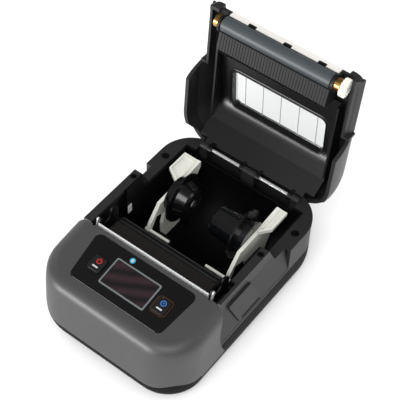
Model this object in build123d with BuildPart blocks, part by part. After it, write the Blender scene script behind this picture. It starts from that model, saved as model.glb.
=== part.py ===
from build123d import *
import math
import os

# Portable label printer, drawn with its cover standing open on its stop.
# X runs across the printer, Y from the control panel at the front to the hinge at the back, Z up.
# It is drawn about the middle of the lower housing, and every finished piece is then moved along Y, so that
# the origin is the bottom centre of the whole open printer, on the plane that the feet stand on. Millimetres.

# Housing
body_width = 117.0
body_length = 160.0
corner_radius = 25.0
wall = 2.4
rail_top = 60.0
rim_top = 46.0
step_y = 20.0
step_lean = 6.5
nose_drop = 5.6
nose_run = 36.0
nose_round = 9.0
rail_margin = 5.3
seam_z = 24.0
front_seam_z = 12.0
seam_gap = 0.3
fit_gap = 0.3
face_gap = 0.2

# Feet and underside
foot_height = 1.4
foot_seat = 0.6
foot_radius = 6.0
foot_margin = 16.5
foot_y = 65.0
door_length = 50.0
door_width = 70.0
door_y = -44.0
pack_height = 20.0

# Label bay
bay_margin = 12.5
bay_radius = 32.6
bay_y = 34.0
bay_z = 39.5
liner = 1.3
bay_front_top = 30.0

# Print head and tear bar
tear_y = -28.0
tear_margin = 3.0
tear_thick = 1.0
head_margin = 3.0
head_back = -9.0
ear_thick = 1.2
head_z = 45.4
head_thick = 5.8

# Platen
platen_y = -20.5
platen_z = 58.0
platen_radius = 5.0
platen_margin = 0.5
shaft_radius = 2.5
bushing_radius = 4.0
run_fit = 0.05
gear_module = 0.6
platen_teeth = 18
idler_teeth = 35
pinion_teeth = 12
gear_width = 3.6

# Cover and hinge
hinge_y = 75.0
hinge_z = 45.0
hinge_rod_radius = 1.1
barrel_radius = 2.7
hinge_half = 39.9
open_angle = 93.0
cover_wall = 2.2
cover_margin = 0.7
cover_rear = 82.0
cover_front = -26.5
cover_crest_y = 56.0
cover_crest_z = 78.0
cover_tail = 51.5
cover_front_radius = 7.0
cover_back_radius = 26.0
window_margin = 10.0
window_front = 22.0
window_back = 55.0
pane_thick = 1.6

# Roll holders
arm_margin = 15.0
arm_thick = 2.5
holder_travel = 9.0
hub_disc_radius = 18.0
hub_disc_thick = 1.4
hub_neck_radius = 12.4
plug_radius = 12.6
plug_tip_radius = 10.4
plug_length_left = 8.0
plug_length_right = 20.0
spindle_radius = 3.0
rack_module = 1.5
rack_teeth = 12
rack_height = 1.7
rack_back = 3.2

# Control panel
panel_thick = 1.2
panel_rear_half = 39.0
panel_front_half = 35.0
panel_rear_y = 17.0
panel_front_y = -16.5
screen_half = 17.5
screen_depth = 20.5
button_x = 25.0
button_width = 9.6
button_depth = 10.6
button_travel = 0.7
release_travel = 2.0
latch_rod_radius = 1.5

# Worked-out places
half_w = body_width / 2
half_l = body_length / 2
foot_x = half_w - foot_margin
bay_half = half_w - bay_margin
tear_half = bay_half - tear_margin
head_half = tear_half - head_margin
platen_half = head_half - platen_margin
cover_half = half_w - cover_margin
window_half = bay_half - window_margin
arm_x = bay_half - arm_margin
rail_half = half_w - rail_margin
base_z = foot_height - foot_seat
base_floor = base_z + wall
head_top = head_z + head_thick
nose_angle = math.degrees(math.atan2(nose_drop, nose_run))
hinge_axis = Axis((0, hinge_y, hinge_z), (1, 0, 0))
panel_mid_y = tear_y - 22.0
panel_mid_z = rail_top - nose_drop * (tear_y - panel_mid_y) / nose_run
panel_plane = Plane(
    origin=(0, panel_mid_y, panel_mid_z),
    x_dir=(1, 0, 0),
    z_dir=(0, -math.sin(math.radians(nose_angle)), math.cos(math.radians(nose_angle))),
)
platen_pitch = gear_module * platen_teeth / 2
idler_pitch = gear_module * idler_teeth / 2
pinion_pitch = gear_module * pinion_teeth / 2
idler_reach = platen_pitch + idler_pitch + 2 * gear_module + fit_gap
idler_y = platen_y - 2.5
idler_z = platen_z - math.sqrt(idler_reach**2 - 2.5**2)
motor_reach = pinion_pitch + idler_pitch
motor_y = idler_y + 8.5
motor_z = idler_z - math.sqrt(motor_reach**2 - 8.5**2)
gear_x = tear_half + 3.4
rack_pitch = rack_module * rack_teeth / 2
rack_z = base_floor + fit_gap
disc_x = arm_x - 6.0
foot_front = 21.0
foot_back_left = 40.0
foot_front_right = 28.0
foot_back = 47.0
latch_y = -31.0
latch_z = 40.0
mesh_angle = math.degrees(math.atan2(motor_z - idler_z, motor_y - idler_y))
idler_turn = mesh_angle
guide_foot_y = bay_y - math.sqrt(bay_radius**2 - (bay_z - bay_front_top)**2)
guide_top_y = head_back + 1.5
guide_top_z = head_z - 1.9
guide_length = math.hypot(guide_foot_y - guide_top_y, guide_top_z - bay_front_top)
guide_dy = -liner * (guide_top_z - bay_front_top) / guide_length
guide_dz = -liner * (guide_foot_y - guide_top_y) / guide_length
swing = math.radians(open_angle)
open_back = hinge_y + math.cos(swing) * (cover_crest_y - hinge_y) + math.sin(swing) * (cover_crest_z - hinge_z)
middle_y = round((open_back - half_l - 0.3) / 2, 1)
pinion_turn = mesh_angle + 180 + 180 / pinion_teeth

os.makedirs("parts", exist_ok=True)


def block(x0, x1, y0, y1, z0, z1):
    """A plain box between two corners, used as a cutting or keeping region."""
    middle = Pos((x0 + x1) / 2, (y0 + y1) / 2, (z0 + z1) / 2)
    return middle * Box(x1 - x0, y1 - y0, z1 - z0, mode=Mode.PRIVATE)


def save(solid, label):
    """Move a finished piece to the origin of the whole printer, label it and write its STEP file."""
    moved = Pos(0, -middle_y, 0) * solid
    moved.label = label
    export_step(moved, "parts/" + label + ".step")


def rounded_outline(half, front, back, front_radius, back_radius, z):
    """One level of a housing: a rectangle from front to back at height z, rounded at its corners."""
    with BuildSketch(Plane.XY.offset(z)) as level:
        with Locations((0, (front + back) / 2)):
            Rectangle(2 * half, back - front)
        fillet(level.vertices().group_by(Axis.Y)[0], radius=front_radius)
        fillet(level.vertices().group_by(Axis.Y)[-1], radius=back_radius)
    return level.sketch


def housing_form(inset):
    """The outer form of the closed lower housing, drawn in by one inset all round."""
    levels = [
        (4.0, 5.0, 4.0, base_z),
        (0.6, 0.8, 0.6, base_z + 7.5),
        (0.0, 0.0, 0.0, 26.0),
        (0.2, 2.5, 0.0, rim_top),
        (4.6, 11.5, 1.5, rail_top + 2.0),
    ]
    with BuildPart() as form:
        for side, front, back, z in levels:
            height = base_z + inset if z == base_z else z
            add(rounded_outline(half_w - side - inset, -half_l + front + inset, half_l - back - inset,
                                corner_radius - inset, corner_radius - inset, height))
        loft(ruled=inset > 0)
        with BuildSketch(Plane.YZ) as side_view:
            with BuildLine():
                Polyline(
                    (-half_l - 5, -1),
                    (half_l + 5, -1),
                    (half_l + 5, rim_top - inset),
                    (step_y + step_lean - inset, rim_top - inset),
                    (step_y - inset, rail_top - inset),
                    (tear_y, rail_top - inset),
                    (-half_l - 5, rail_top - inset - nose_drop * (tear_y + half_l + 5) / nose_run),
                    close=True,
                )
            make_face()
        extrude(amount=half_w + 5, both=True, mode=Mode.INTERSECT)
        slope = form.faces().filter_by(lambda face: face.normal_at().Z > 0.9).sort_by(Axis.Y)[0]
        fillet(slope.edges().sort_by(Axis.Y)[:-1], radius=nose_round - 1.2 * inset)
    return form.part


def cover_form(inset):
    """The outer form of the cover in its closed place, drawn in by one inset all round."""
    levels = [
        (0.2, 0.0, 1.5, rim_top - 2.0),
        (0.0, 0.0, 0.0, 58.0),
        (3.2, 0.6, 4.0, 70.0),
        (10.0, 3.0, 15.0, 79.5),
    ]
    with BuildPart() as form:
        for side, front, back, z in levels:
            add(rounded_outline(cover_half - side - inset, cover_front + front + inset, cover_rear - back - inset,
                                cover_front_radius - inset, cover_back_radius - inset, z))
        loft(ruled=inset > 0)
        with BuildSketch(Plane.YZ) as side_view:
            with BuildLine():
                Polyline(
                    (cover_front - 5, rim_top - 3),
                    (cover_rear + 5, rim_top - 3),
                    (cover_rear + 5, cover_crest_z + 0.5 - inset),
                    (cover_crest_y, cover_crest_z - inset),
                    (cover_front - 5, rail_top + 6.9 - inset),
                    close=True,
                )
            make_face()
        extrude(amount=half_w + 5, both=True, mode=Mode.INTERSECT)
    return form.part


def opened(solid):
    """Swing a piece of the cover from its closed place to its open stop."""
    return solid.rotate(hinge_axis, -open_angle)


def gear_blank(module, teeth, width, bore, x0, cy, cz, turn):
    """A spur gear along X with straight-flanked teeth and a plain bore."""
    pitch = module * teeth / 2
    root = pitch - 1.2 * module
    tip = pitch + 0.95 * module
    with BuildPart() as gear:
        with BuildSketch(Plane.YZ.offset(x0)) as face:
            with Locations((cy, cz)):
                Circle(root)
                with PolarLocations(0, teeth, start_angle=turn):
                    with Locations((root - 0.3, 0)):
                        with BuildSketch(mode=Mode.PRIVATE) as tooth:
                            with BuildLine():
                                Polyline(
                                    (0, -0.82 * module),
                                    (tip - root + 0.3, -0.32 * module),
                                    (tip - root + 0.3, 0.32 * module),
                                    (0, 0.82 * module),
                                    close=True,
                                )
                            make_face()
                        add(tooth.sketch)
                Circle(bore, mode=Mode.SUBTRACT)
        extrude(amount=width)
    return gear.part


def release_outline(gap):
    """Side view of the release button, leaning towards the back as it goes down."""
    return [
        (tear_y + 4.4 - gap, rail_top - 9.0 + gap),
        (tear_y + 27.4 + gap, rail_top - 9.0 + gap),
        (tear_y + 35.6 + gap, seam_z + 5.4 - gap),
        (tear_y + 12.6 - gap, seam_z + 5.4 - gap),
    ]


def panel_outline(gap):
    """The control panel, wider at the back than at the front."""
    return [
        (-panel_rear_half - gap, panel_rear_y + gap),
        (-panel_front_half - gap, panel_front_y - gap),
        (panel_front_half + gap, panel_front_y - gap),
        (panel_rear_half + gap, panel_rear_y + gap),
    ]


outer_form = housing_form(0)
inner_form = housing_form(wall)

# The grey front shell ends at the sides in a curve that bows towards the front
with BuildPart() as front_region:
    with BuildSketch(Plane.YZ) as front_side:
        with BuildLine():
            Polyline((tear_y, rail_top + 4), (-half_l - 8, rail_top + 4), (-half_l - 8, front_seam_z),
                     (tear_y - 1, front_seam_z))
            ThreePointArc((tear_y - 1, front_seam_z), (tear_y - 7.5, 42), (tear_y, rail_top + 4))
        make_face()
    extrude(amount=half_w + 6, both=True)

# Lower tray: floor, skirt and the low wall under the front shell
with BuildPart() as base_tray:
    add(outer_form)
    add(front_region.part, mode=Mode.SUBTRACT)
    add(block(-80, 80, -100, 100, seam_z, 80), mode=Mode.SUBTRACT)
    add(inner_form, mode=Mode.SUBTRACT)
    with BuildSketch(Plane.XY) as door_hole:
        with Locations((0, door_y)):
            RectangleRounded(door_width, door_length, 4)
    extrude(amount=base_floor, mode=Mode.SUBTRACT)
    with BuildSketch(Plane.XY) as feet_seats:
        with GridLocations(2 * foot_x, 2 * foot_y, 2, 2):
            Circle(foot_radius + 0.15)
    extrude(amount=foot_height, mode=Mode.SUBTRACT)
    with BuildSketch(Plane.XY.offset(base_floor)) as posts:
        with Locations((0, bay_y)):
            Circle(2.0)
    extrude(amount=rack_height + 0.4)
    with BuildSketch(Plane.XY.offset(base_floor)) as ribs:
        with Locations((0, door_y + door_length / 2 + 3.5), (0, 64)):
            Rectangle(90, 1.6)
    extrude(amount=3.0)
save(base_tray.part, "base_tray")

with BuildPart() as battery_door:
    with BuildSketch(Plane.XY.offset(base_z)) as door_face:
        with Locations((0, door_y)):
            RectangleRounded(door_width - 2 * fit_gap, door_length - 2 * fit_gap, 4 - fit_gap)
    extrude(amount=wall)
    with BuildSketch(Plane.XY.offset(base_z)) as finger_grip:
        with Locations((0, door_y + door_length / 2 - 8)):
            SlotOverall(24, 8)
    extrude(amount=0.9, mode=Mode.SUBTRACT)
    with BuildSketch(Plane.XY.offset(base_floor)) as door_lips:
        with Locations((0, door_y - door_length / 2 + 0.2), (0, door_y + door_length / 2 - 0.2)):
            Rectangle(30, 3.0)
    extrude(amount=1.2)
save(battery_door.part, "battery_door")

with BuildPart() as battery_pack:
    with BuildSketch(Plane.XY.offset(base_floor + face_gap)) as pack_plan:
        with Locations((0, door_y)):
            RectangleRounded(door_width - 6, door_length - 8, 3)
    extrude(amount=pack_height)
    fillet(battery_pack.edges().group_by(Axis.Z)[-1], radius=2)
save(battery_pack.part, "battery_pack")

foot_places = [
    ("foot_front_left", -foot_x, -foot_y),
    ("foot_front_right", foot_x, -foot_y),
    ("foot_rear_left", -foot_x, foot_y),
    ("foot_rear_right", foot_x, foot_y),
]
for foot_name, fx, fy in foot_places:
    with BuildPart() as foot:
        with BuildSketch(Plane.XY) as pad:
            with Locations((fx, fy)):
                Circle(foot_radius)
        extrude(amount=foot_height)
        chamfer(foot.edges().group_by(Axis.Z)[0], length=0.4)
    save(foot.part, foot_name)

# Middle frame: side walls, the two high rails beside the print head and the low rear rim
with BuildPart() as mid_frame:
    add(outer_form)
    add(inner_form, mode=Mode.SUBTRACT)
    add(front_region.part, mode=Mode.SUBTRACT)
    add(block(-80, 80, -100, 100, -5, seam_z + seam_gap), mode=Mode.SUBTRACT)
    add(block(-80, 80, -100, tear_y - 9, -5, 90), mode=Mode.SUBTRACT)
    for side in (-1, 1):
        with BuildSketch(Plane.XZ.offset(-38)) as scoop:
            with BuildLine():
                Polyline(
                    (side * rail_half, rail_top + 2),
                    (side * (rail_half + 0.2), rail_top - 10),
                    (side * (half_w - 0.2), seam_z + 2.5),
                    (side * (half_w + 6), seam_z + 2.5),
                    (side * (half_w + 6), rail_top + 2),
                    close=True,
                )
            make_face()
        extrude(amount=80, taper=0, mode=Mode.SUBTRACT)
        with BuildSketch(Plane.XZ.offset(-38)) as backing:
            with BuildLine():
                Polyline(
                    (side * (bay_half + liner + face_gap), rail_top),
                    (side * rail_half, rail_top),
                    (side * (rail_half + 0.2), rail_top - 10),
                    (side * (half_w - 0.2), seam_z + 2.5),
                    (side * (half_w - 0.4), seam_z + seam_gap),
                    (side * (half_w - wall - 0.6), seam_z + seam_gap),
                    (side * (half_w - wall - 0.8), seam_z + 3),
                    (side * (rail_half - 2.2), rail_top - 10.6),
                    (side * (rail_half - 2.2), rail_top - wall),
                    (side * (bay_half + liner + face_gap), rail_top - wall),
                    close=True,
                )
            make_face()
        extrude(amount=80)
        shelf_in = bay_half + liner + face_gap
        add(block(min(side * shelf_in, side * (rail_half - 0.2)), max(side * shelf_in, side * (rail_half - 0.2)),
                  step_y - 1, 38, rim_top - wall, rim_top))
    with BuildSketch(Plane.YZ) as behind_step:
        with BuildLine():
            Polyline((step_y, rail_top + 30), (step_y, rail_top), (step_y + step_lean, rim_top), (45, rim_top),
                     (45, rail_top + 30), close=True)
        make_face()
    extrude(amount=80, both=True, mode=Mode.SUBTRACT)
    add(front_region.part, mode=Mode.SUBTRACT)
    add(block(-bay_half - liner - face_gap, bay_half + liner + face_gap, tear_y - 12,
              bay_y + bay_radius + liner + face_gap, seam_z, 90), mode=Mode.SUBTRACT)
    add(block(-hinge_half - 0.1, hinge_half + 0.1, bay_y + bay_radius, 90, hinge_z - barrel_radius - 0.8, 90),
        mode=Mode.SUBTRACT)
    add(block(bay_half - 1, rail_half - 2.0, tear_y - 10, platen_y + 9, rim_top - 2, 90), mode=Mode.SUBTRACT)
    with BuildSketch(Plane.YZ.offset(half_w - 12)) as button_pocket:
        with BuildLine():
            Polyline(*release_outline(fit_gap), close=True)
        make_face()
    extrude(amount=16, mode=Mode.SUBTRACT)
    with Locations((3.0 - rail_half, step_y - 5, rail_top), (rail_half - 3.0, step_y - 5, rail_top)):
        CounterBoreHole(radius=1.3, counter_bore_radius=2.2, counter_bore_depth=1.6, depth=wall + 1)
    with Locations((6.0 - half_w, bay_y + 17, rim_top), (half_w - 6.0, bay_y + 17, rim_top)):
        CounterBoreHole(radius=1.4, counter_bore_radius=2.8, counter_bore_depth=1.6, depth=wall + 1)
    with BuildSketch(Plane.YZ.offset(-5)) as middle_knuckle:
        with BuildLine():
            Polyline((hinge_y - 3.4, hinge_z - 9), (hinge_y + 4.2, hinge_z - 9), (hinge_y + barrel_radius, hinge_z),
                     (hinge_y - barrel_radius + 0.4, hinge_z), close=True)
        make_face()
        with Locations((hinge_y, hinge_z)):
            Circle(barrel_radius)
            Circle(hinge_rod_radius, mode=Mode.SUBTRACT)
    extrude(amount=10)
    for k0 in (-hinge_half, hinge_half - 5.8):
        with BuildSketch(Plane.YZ.offset(k0)) as end_knuckle:
            with BuildLine():
                Polyline((hinge_y - 3.4, hinge_z - 9), (hinge_y + 4.2, hinge_z - 9), (hinge_y + barrel_radius, hinge_z),
                         (hinge_y - barrel_radius + 0.4, hinge_z), close=True)
            make_face()
            with Locations((hinge_y, hinge_z)):
                Circle(barrel_radius)
                Circle(hinge_rod_radius, mode=Mode.SUBTRACT)
        extrude(amount=5.8)
save(mid_frame.part, "mid_frame")

# Release button on the right, leaning with the end of the front shell
with BuildPart() as release_button:
    with BuildSketch(Plane.YZ.offset(half_w - 12)) as button_face:
        with BuildLine():
            Polyline(*[(y, z) for y, z in release_outline(0)], close=True)
        make_face()
    extrude(amount=16)
    fillet(release_button.edges().filter_by(Axis.X), radius=1.5)
    with BuildSketch(Plane.XZ.offset(40)) as button_skin:
        with BuildLine():
            Polyline(
                (rail_half + 1.4, rail_top - 6),
                (half_w + 0.4, seam_z + 3.5),
                (half_w - 2.6, seam_z + 2.5),
                (gear_x + gear_width + release_travel + 0.6, rail_top - 8),
                close=True,
            )
        make_face()
    extrude(amount=-90, mode=Mode.INTERSECT)
save(release_button.part, "release_button")

# Grey front shell with the sloping panel seat
with BuildPart() as front_shell:
    add(outer_form)
    add(inner_form, mode=Mode.SUBTRACT)
    add(block(-80, 80, -100, 100, -5, front_seam_z + seam_gap), mode=Mode.SUBTRACT)
    add(front_region.part, mode=Mode.INTERSECT)
    add(block(-tear_half - 1.2, tear_half + 1.2, tear_y - tear_thick - 0.2, 0, 0, 90),
        mode=Mode.SUBTRACT)
    add(block(tear_half + 1.2, tear_half + 2.9, tear_y - 3.2, 0, 40, 90), mode=Mode.SUBTRACT)
    add(block(-tear_half - 2.9, -tear_half - 1.2, tear_y - 3.2, 0, 40, 90), mode=Mode.SUBTRACT)
    with BuildSketch(panel_plane) as panel_seat:
        with BuildLine():
            Polyline(*panel_outline(fit_gap), close=True)
        make_face()
        fillet(panel_seat.vertices(), radius=4 + fit_gap)
    extrude(amount=-(panel_thick - 0.2), mode=Mode.SUBTRACT)
    extrude(panel_seat.sketch, amount=5, mode=Mode.SUBTRACT)
    with BuildSketch(panel_plane) as shell_windows:
        Rectangle(2 * screen_half - 4, screen_depth - 4)
        with Locations((-button_x, -0.8), (button_x, -0.8)):
            RectangleRounded(button_width + 1, button_depth + 1, 2.5)
    extrude(amount=-8, mode=Mode.SUBTRACT)
save(front_shell.part, "front_shell")

with BuildPart() as control_panel:
    with BuildSketch(panel_plane.offset(0.2 - panel_thick + 0.02)) as panel_face:
        with BuildLine():
            Polyline(*panel_outline(0), close=True)
        make_face()
        fillet(panel_face.vertices(), radius=4)
        Rectangle(2 * screen_half, screen_depth, mode=Mode.SUBTRACT)
        with Locations((-button_x, -0.8), (button_x, -0.8)):
            RectangleRounded(button_width + 2 * fit_gap, button_depth + 2 * fit_gap, 2.3, mode=Mode.SUBTRACT)
    extrude(amount=panel_thick)
    chamfer(control_panel.faces().sort_by(Axis.Z)[-1].outer_wire().edges(), length=0.25)
save(control_panel.part, "control_panel")

with BuildPart() as display_bezel:
    with BuildSketch(panel_plane.offset(0.2 - panel_thick + 0.02)) as bezel_face:
        RectangleRounded(2 * screen_half - 2 * face_gap, screen_depth - 2 * face_gap, 1.0)
        RectangleRounded(2 * screen_half - 7, screen_depth - 7, 0.6, mode=Mode.SUBTRACT)
    extrude(amount=panel_thick + 0.3)
    with BuildSketch(panel_plane.offset(0.2 - panel_thick + 0.02)) as bezel_rebate:
        RectangleRounded(2 * screen_half - 5, screen_depth - 5, 0.8)
    extrude(amount=0.7, mode=Mode.SUBTRACT)
save(display_bezel.part, "display_bezel")

with BuildPart() as display_glass:
    with BuildSketch(panel_plane.offset(0.2 - panel_thick + 0.02 - 1.6)) as glass_face:
        RectangleRounded(2 * screen_half - 5 - 2 * face_gap, screen_depth - 5 - 2 * face_gap, 0.8)
    extrude(amount=2.2)
save(display_glass.part, "display_glass")

for button_name, bx in (("power_button", -button_x), ("feed_button", button_x)):
    with BuildPart() as button:
        with BuildSketch(panel_plane.offset(-wall - 0.9)) as button_foot:
            with Locations((bx, -0.8)):
                RectangleRounded(button_width + 3, button_depth + 3, 3)
        extrude(amount=0.7)
        with BuildSketch(panel_plane.offset(-wall - 0.9)) as button_cap:
            with Locations((bx, -0.8)):
                RectangleRounded(button_width, button_depth, 2)
        extrude(amount=wall + 0.9 + 1.1)
        fillet(button.faces().sort_by(Axis.Z)[-1].outer_wire().edges(), radius=0.5)
    save(button.part, button_name)

with BuildPart() as keypad:
    with BuildSketch(panel_plane.offset(-6.4)) as mat:
        RectangleRounded(72, 24, 3)
    extrude(amount=1.0)
    with BuildSketch(panel_plane.offset(-5.4)) as domes:
        with Locations((-button_x, -0.8), (button_x, -0.8)):
            Circle(3.4)
    extrude(amount=6.4 - 1.0 - wall - 0.9 - button_travel - 0.1)
save(keypad.part, "keypad")

with BuildPart() as main_board:
    with BuildSketch(panel_plane.offset(-8.2)) as board:
        RectangleRounded(86, 34, 2)
    extrude(amount=1.6)
    with BuildSketch(panel_plane.offset(-8.2)) as chips:
        with Locations((-12, 2), (14, -4)):
            Rectangle(12, 12)
        with Locations((34, 6)):
            Rectangle(8, 14)
    extrude(amount=-1.6)
save(main_board.part, "main_board")

with BuildPart() as tear_bar:
    with BuildSketch(Plane.XZ.offset(-tear_y)) as blade:
        with Locations((0, rail_top - 4.2)):
            Rectangle(2 * tear_half, 9.0)
    extrude(amount=tear_thick)
    with BuildSketch(Plane.XZ.offset(-tear_y - 1)) as serration:
        with GridLocations(2.15, 0, 39, 1):
            with Locations((0, rail_top + 0.45)):
                RegularPolygon(radius=0.62, side_count=3, rotation=-90)
    extrude(amount=tear_thick + 2, mode=Mode.SUBTRACT)
save(tear_bar.part, "tear_bar")

# Print head: cooling block with fins, ceramic strip and driver cover
with BuildPart() as head_block:
    with BuildSketch(Plane.YZ.offset(-head_half)) as head_side:
        with BuildLine():
            Polyline((tear_y + 1.5, head_z), (tear_y + 1.5, head_top), (head_back - 4.5, head_top),
                     (head_back, head_top - 1), (head_back, head_z), close=True)
        make_face()
        with Locations([(head_back - 3.6 - 3 * k, head_z) for k in range(5)]):
            Rectangle(1.4, 4.8, mode=Mode.SUBTRACT)
    extrude(amount=2 * head_half)
save(head_block.part, "head_block")

with BuildPart() as head_ceramic:
    with BuildSketch(Plane.YZ.offset(-head_half + 1)) as ceramic_side:
        with Locations((platen_y - 0.1, head_top + 0.55)):
            Rectangle(11.0, 1.1)
    extrude(amount=2 * head_half - 2)
save(head_ceramic.part, "head_ceramic")

with BuildPart() as head_cover:
    with BuildSketch(Plane.YZ.offset(-head_half + 3)) as cover_side:
        with BuildLine():
            Polyline((-14.9, head_top), (-14.9, head_top + 0.4), (-14.2, head_top + 1), (-13.7, head_top + 0.8),
                     (-13.5, head_top), close=True)
        make_face()
    extrude(amount=2 * head_half - 6)
save(head_cover.part, "head_cover")

# Steel bracket: floor plate under the head and two ears with notches that take the platen bushings
with BuildPart() as head_bracket:
    add(block(-tear_half, tear_half, tear_y, head_back, head_z - fit_gap - ear_thick, head_z - fit_gap))
    add(block(-tear_half, tear_half, tear_y, tear_y + ear_thick, head_z - fit_gap - ear_thick, rail_top - 6))
    for ear_x in (-tear_half - ear_thick, tear_half):
        with BuildSketch(Plane.YZ.offset(ear_x)) as ear:
            with BuildLine():
                Polyline((tear_y - 5.5, 37.5), (tear_y - 5.5, 42.5), (tear_y, 47), (tear_y, 59.4),
                         (tear_y + 2.0, 61.4), (head_back - 3.5, 61.4), (head_back, 58.0), (head_back, 41.0),
                         (head_back - 6, 37.5), close=True)
            make_face()
            with BuildLine():
                Line((platen_y - bushing_radius - 0.35, 64), (platen_y - bushing_radius - 0.35, platen_z))
                ThreePointArc((platen_y - bushing_radius - 0.35, platen_z),
                              (platen_y, platen_z - bushing_radius - 0.35),
                              (platen_y + bushing_radius + 0.35, platen_z))
                Polyline((platen_y + bushing_radius + 0.35, platen_z), (platen_y + bushing_radius + 2.4, 64),
                         (platen_y - bushing_radius - 0.35, 64))
            make_face(mode=Mode.SUBTRACT)
            with Locations((latch_y, latch_z)):
                Circle(latch_rod_radius + run_fit, mode=Mode.SUBTRACT)
        extrude(amount=ear_thick)
save(head_bracket.part, "head_bracket")

# Latch: a cross rod with a slim hook outside each ear, leaning back over the bushing
with BuildPart() as latch_bar:
    with BuildSketch(Plane.YZ.offset(-tear_half - 2.6)) as latch_rod:
        with Locations((latch_y, latch_z)):
            Circle(latch_rod_radius)
    extrude(amount=2 * tear_half + 5.2)
    for hook_x in (-tear_half - 2.6, tear_half + 1.5):
        with BuildSketch(Plane.YZ.offset(hook_x)) as hook:
            with BuildLine():
                Polyline((latch_y - 2.0, latch_z), (latch_y + 2.2, latch_z), (latch_y + 3.2, latch_z + 10),
                         (platen_y - 5.6, platen_z), (platen_y - 4.6, platen_z + 2.7), (platen_y - 5.0, platen_z + 3.9),
                         (platen_y - 6.4, platen_z + 3.5), (platen_y - 7.7, platen_z - 0.5), (latch_y + 0.8, latch_z + 10),
                         close=True)
            make_face()
            fillet(hook.vertices(), radius=0.4)
            with Locations((latch_y, latch_z)):
                Circle(2.4)
        extrude(amount=1.1)
save(latch_bar.part, "latch_bar")

# Drive: motor under the head, pinion and idler outside the right ear
with BuildPart() as motor:
    with BuildSketch(Plane.YZ.offset(tear_half - 31)) as can:
        with Locations((motor_y, motor_z)):
            Circle(9.0)
    extrude(amount=30)
    with BuildSketch(Plane.YZ.offset(tear_half - 1.2)) as flange:
        with Locations((motor_y, motor_z)):
            SlotCenterToCenter(20, 7, rotation=90)
            Circle(9.0)
    extrude(amount=1.2)
    with BuildSketch(Plane.YZ.offset(tear_half)) as collar:
        with Locations((motor_y, motor_z)):
            Circle(1.0)
    extrude(amount=gear_x + gear_width - tear_half)
save(motor.part, "motor")

pinion = gear_blank(gear_module, pinion_teeth, gear_width, 1.0 + run_fit, gear_x, motor_y, motor_z, pinion_turn)
save(pinion, "motor_pinion")

idler = gear_blank(gear_module, idler_teeth, gear_width, 1.5 + run_fit, gear_x, idler_y, idler_z, idler_turn)
save(idler, "idler_gear")

with BuildPart() as idler_axle:
    with BuildSketch(Plane.YZ.offset(tear_half + ear_thick)) as axle_face:
        with Locations((idler_y, idler_z)):
            Circle(1.5)
    extrude(amount=gear_x + gear_width + 1.4 - tear_half - ear_thick)
save(idler_axle.part, "idler_axle")

# Label bay: a curved tub that the roll drops into
with BuildPart() as label_bay:
    with BuildSketch(Plane.YZ.offset(-bay_half - liner)) as tub_outer:
        with Locations((bay_y, bay_z)):
            Circle(bay_radius + liner)
        with Locations((bay_y, (bay_z + rail_top - 0.4) / 2)):
            Rectangle(2 * (bay_radius + liner), rail_top - 0.4 - bay_z)
    extrude(amount=2 * (bay_half + liner))
    with BuildSketch(Plane.YZ.offset(-bay_half)) as tub_inner:
        with Locations((bay_y, bay_z)):
            Circle(bay_radius)
        with Locations((bay_y, bay_z + 20)):
            Rectangle(2 * bay_radius, 40)
    extrude(amount=2 * bay_half, mode=Mode.SUBTRACT)
    add(block(-60, 60, -20, 90, rail_top - 0.4, 90), mode=Mode.SUBTRACT)
    add(block(-60, 60, step_y - 0.4, 90, rim_top - 0.3, 90), mode=Mode.SUBTRACT)
    add(block(-60, 60, -20, guide_foot_y + 0.1, bay_front_top, 90), mode=Mode.SUBTRACT)
    add(block(-hinge_half - 0.1, hinge_half + 0.1, bay_y, 90, hinge_z - barrel_radius - 0.8, 90), mode=Mode.SUBTRACT)
    with BuildSketch(Plane.YZ.offset(-bay_half)) as paper_guide:
        with BuildLine():
            Polyline((guide_foot_y, bay_front_top), (guide_foot_y - 0.2, bay_front_top - 1.6),
                     (guide_foot_y + guide_dy, bay_front_top + guide_dz), (guide_top_y + guide_dy, guide_top_z + guide_dz),
                     (guide_top_y, guide_top_z), close=True)
        make_face()
    extrude(amount=2 * bay_half)
    for side, y0, y1 in ((-1, foot_front, foot_back_left), (1, foot_front_right, foot_back)):
        inner = arm_x - holder_travel - fit_gap
        outer = arm_x + arm_thick + fit_gap
        add(block(min(side * inner, side * outer), max(side * inner, side * outer),
                  y0 - fit_gap, y1 + fit_gap, 0, 12), mode=Mode.SUBTRACT)
save(label_bay.part, "label_bay")

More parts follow.
